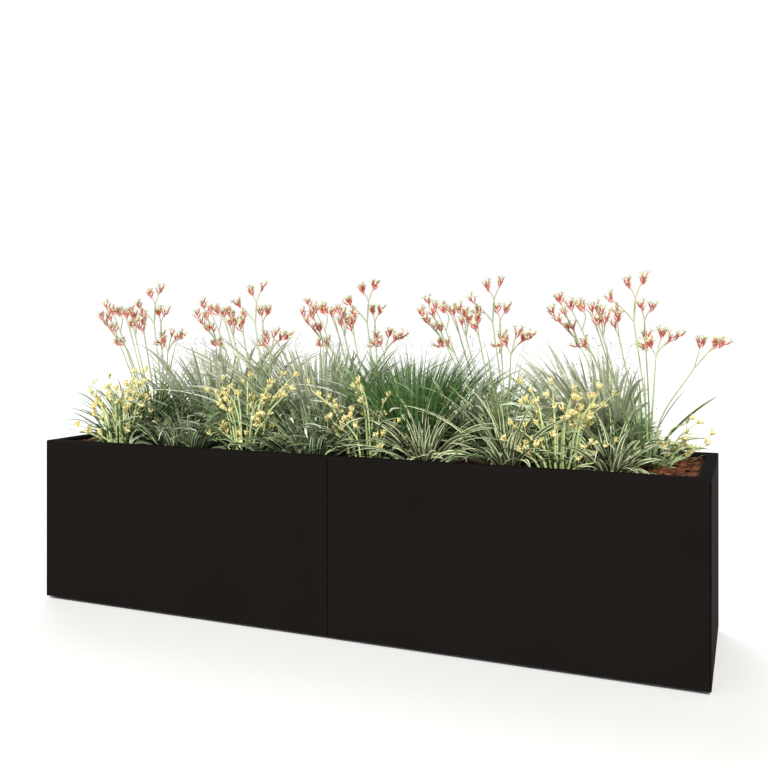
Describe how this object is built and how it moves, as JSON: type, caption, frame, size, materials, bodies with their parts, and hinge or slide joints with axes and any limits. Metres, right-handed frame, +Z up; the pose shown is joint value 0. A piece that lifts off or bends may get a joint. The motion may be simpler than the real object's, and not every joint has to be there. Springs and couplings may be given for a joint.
{
  "type": "raised metal garden planter",
  "caption": "Long rectangular black metal planter on low feet, with an in-folded rim and a mid seam, filled with bark mulch and planted with flowering strap-leaf plants.",
  "frame": {"origin": "centre of the footprint, on the ground under the feet", "axes": "+X along the length to the right as seen from the front, -Y towards the front, +Z up"},
  "size_m": [2.489, 0.6, 1.2083],
  "materials": {
    "coated_metal": "matt black textured powder coat",
    "zinc_steel": "zinc plated",
    "zinc_fasteners": "zinc plated, satin",
    "rubber_feet": "matt moulded rubber",
    "drain_plastic": "moulded, matt",
    "gravel": "rough crushed stone",
    "filter_cloth": "needle-punched felt",
    "potting_mix": "damp composted bark",
    "bark_mulch": "shredded red-brown bark",
    "red_paw_plant": "matt leaf and felted flower",
    "yellow_paw_plant": "matt leaf and felted flower",
    "silver_leaf": "matt silver-green leaf",
    "striped_leaf": "satin striped leaf",
    "dark_leaf": "satin dark green leaf",
    "tussock_leaf": "satin fine green leaf"
  },
  "bodies": {
    "root": {"front_panel_left": "coated_metal", "front_panel_right": "coated_metal", "back_panel_left": "coated_metal", "back_panel_right": "coated_metal", "end_panel_left": "coated_metal", "end_panel_right": "coated_metal", "floor_tray_left": "coated_metal", "floor_tray_right": "coated_metal", "floor_bearer_left": "zinc_steel", "floor_bearer_centre": "zinc_steel", "floor_bearer_right": "zinc_steel", "foot_front_left": "rubber_feet", "foot_front_centre": "rubber_feet", "foot_front_right": "rubber_feet", "foot_back_left": "rubber_feet", "foot_back_centre": "rubber_feet", "foot_back_right": "rubber_feet", "foot_bolts": "zinc_fasteners", "foot_nuts": "zinc_fasteners", "seam_bolts": "zinc_fasteners", "seam_nuts": "zinc_fasteners", "corner_nuts": "zinc_fasteners", "rib_front_left": "zinc_steel", "rib_front_right": "zinc_steel", "rib_back_left": "zinc_steel", "rib_back_right": "zinc_steel", "cross_brace_left": "zinc_steel", "cross_brace_centre": "zinc_steel", "cross_brace_right": "zinc_steel", "brace_bolts": "zinc_fasteners", "brace_nuts": "zinc_fasteners", "drain_outlet_1": "drain_plastic", "drain_outlet_2": "drain_plastic", "drain_outlet_3": "drain_plastic", "drain_outlet_4": "drain_plastic", "drainage_gravel": "gravel", "filter_fabric": "filter_cloth", "potting_mix": "potting_mix", "bark_mulch": "bark_mulch", "red_paw_1": "red_paw_plant", "red_paw_2": "red_paw_plant", "red_paw_3": "red_paw_plant", "red_paw_4": "red_paw_plant", "red_paw_5": "red_paw_plant", "yellow_paw_1": "yellow_paw_plant", "yellow_paw_2": "yellow_paw_plant", "yellow_paw_3": "yellow_paw_plant", "yellow_paw_4": "yellow_paw_plant", "yellow_paw_5": "yellow_paw_plant", "silver_clump_1": "silver_leaf", "silver_clump_2": "silver_leaf", "silver_clump_3": "silver_leaf", "silver_clump_4": "silver_leaf", "striped_tuft_1": "striped_leaf", "striped_tuft_2": "striped_leaf", "striped_tuft_3": "striped_leaf", "dark_clump_1": "dark_leaf", "dark_clump_2": "dark_leaf", "green_tussock": "tussock_leaf"}
  },
  "joints": []
}
